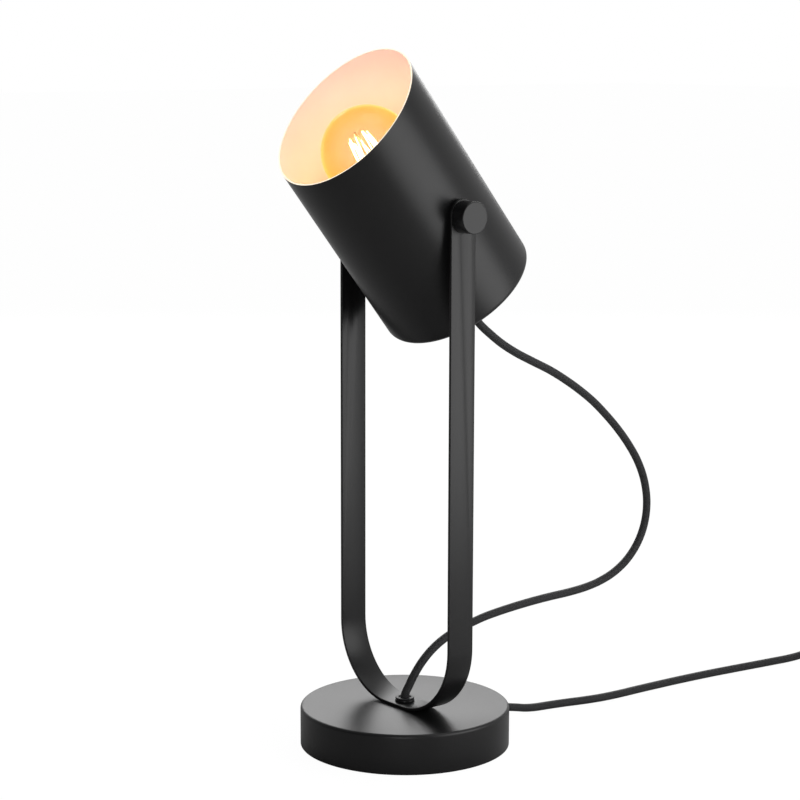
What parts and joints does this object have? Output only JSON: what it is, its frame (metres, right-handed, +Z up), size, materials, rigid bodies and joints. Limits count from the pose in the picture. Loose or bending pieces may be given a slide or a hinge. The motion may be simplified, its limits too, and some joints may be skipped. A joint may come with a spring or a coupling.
{
  "type": "tabletop searchlight lamp",
  "caption": "Table lamp with a slanted can shade that tilts between the arms of a flat-bar yoke on a weighted round base, with cord, in-line switch and plug.",
  "frame": {"origin": "centre of the underside of the base pad", "axes": "+Z up, X along the tilt axis, the shade looks towards -Y and the cords leave towards +Y"},
  "size_m": [0.2139, 0.5836, 0.4613],
  "materials": {
    "black_coat": "satin black powder coat, white inside the shade",
    "knob_black": "matt black",
    "iron": "as cast",
    "steel": "zinc plated",
    "brass": "turned",
    "foam": "matt",
    "nylon": "natural",
    "black_plastic": "moulded",
    "ceramic": "glazed",
    "textile": "braided",
    "wire": "insulated wire",
    "nickel": "nickel plated",
    "amber_glass": "clear amber",
    "clear_glass": "clear",
    "filament_wire": "glowing",
    "support_wire": "drawn wire"
  },
  "bodies": {
    "stand": {"base_cover": "black_coat", "base_weight": "iron", "bottom_plate": "steel", "plate_screws": "steel", "base_pad": "foam", "flange_bolt": "black_coat", "bolt_bush": "black_plastic", "bolt_washer": "steel", "bolt_nut": "brass", "base_grommet": "black_plastic", "cord_clamp": "nylon", "clamp_screws": "steel", "terminal_block": "nylon", "terminal_tubes": "brass", "terminal_screws": "steel", "base_wires": "wire", "yoke": "black_coat", "loop_cord": "textile", "mains_cord": "textile", "switch_cord": "textile", "cord_coil": "textile", "coil_tie": "black_plastic", "plug_cord": "textile", "switch_base": "black_plastic", "switch_cover": "black_plastic", "switch_screws": "steel", "switch_contacts": "brass", "plug_body": "black_plastic", "plug_pins": "nickel"},
    "head": {"shade": "black_coat", "pivot_studs": "steel", "outer_spacers": "black_coat", "inner_spacers": "nylon", "pivot_nuts": "steel", "nipple": "brass", "rear_washer": "steel", "rear_nut": "black_coat", "cord_grip": "black_plastic", "grip_screw": "nylon", "holder_cap": "black_plastic", "holder_sleeve": "black_plastic", "holder_core": "ceramic", "screw_shell": "brass", "holder_contact": "brass", "holder_screws": "steel", "holder_wires": "wire"},
    "knob_right": {"knob_right": "knob_black", "knob_insert_right": "brass", "knob_washer_right": "nylon"},
    "knob_left": {"knob_left": "knob_black", "knob_insert_left": "brass", "knob_washer_left": "nylon"},
    "bulb": {"bulb_glass": "amber_glass", "bulb_cap": "nickel", "bulb_insulator": "black_plastic", "bulb_contact": "nickel", "bulb_stem": "clear_glass", "filament_supports": "support_wire", "filament": "filament_wire"},
    "rocker": {"switch_rocker": "black_plastic"}
  },
  "joints": [
    {"name": "head_tilt", "type": "hinge", "parent": "stand", "child": "head", "pos_m": [0, 0, 0.357], "axis": [1, 0, 0], "range_deg": [-39, 96], "deforming": ["loop_cord"]},
    {"name": "knob_right_turn", "type": "hinge", "parent": "head", "child": "knob_right", "pos_m": [0.063, 0, 0.357], "axis": [1, 0, 0], "range_deg": [0, 180]},
    {"name": "knob_left_turn", "type": "hinge", "parent": "head", "child": "knob_left", "pos_m": [-0.063, 0, 0.357], "axis": [-1, 0, 0], "range_deg": [0, 180]},
    {"name": "bulb_out", "type": "slide", "parent": "head", "child": "bulb", "axis": [0, -0.6293, 0.7771], "range_m": [0, 0.03]},
    {"name": "switch_press", "type": "hinge", "parent": "stand", "child": "rocker", "pos_m": [0.031, 0.426, 0.0105], "axis": [1, 0, 0], "range_deg": [0, 14]}
  ]
}
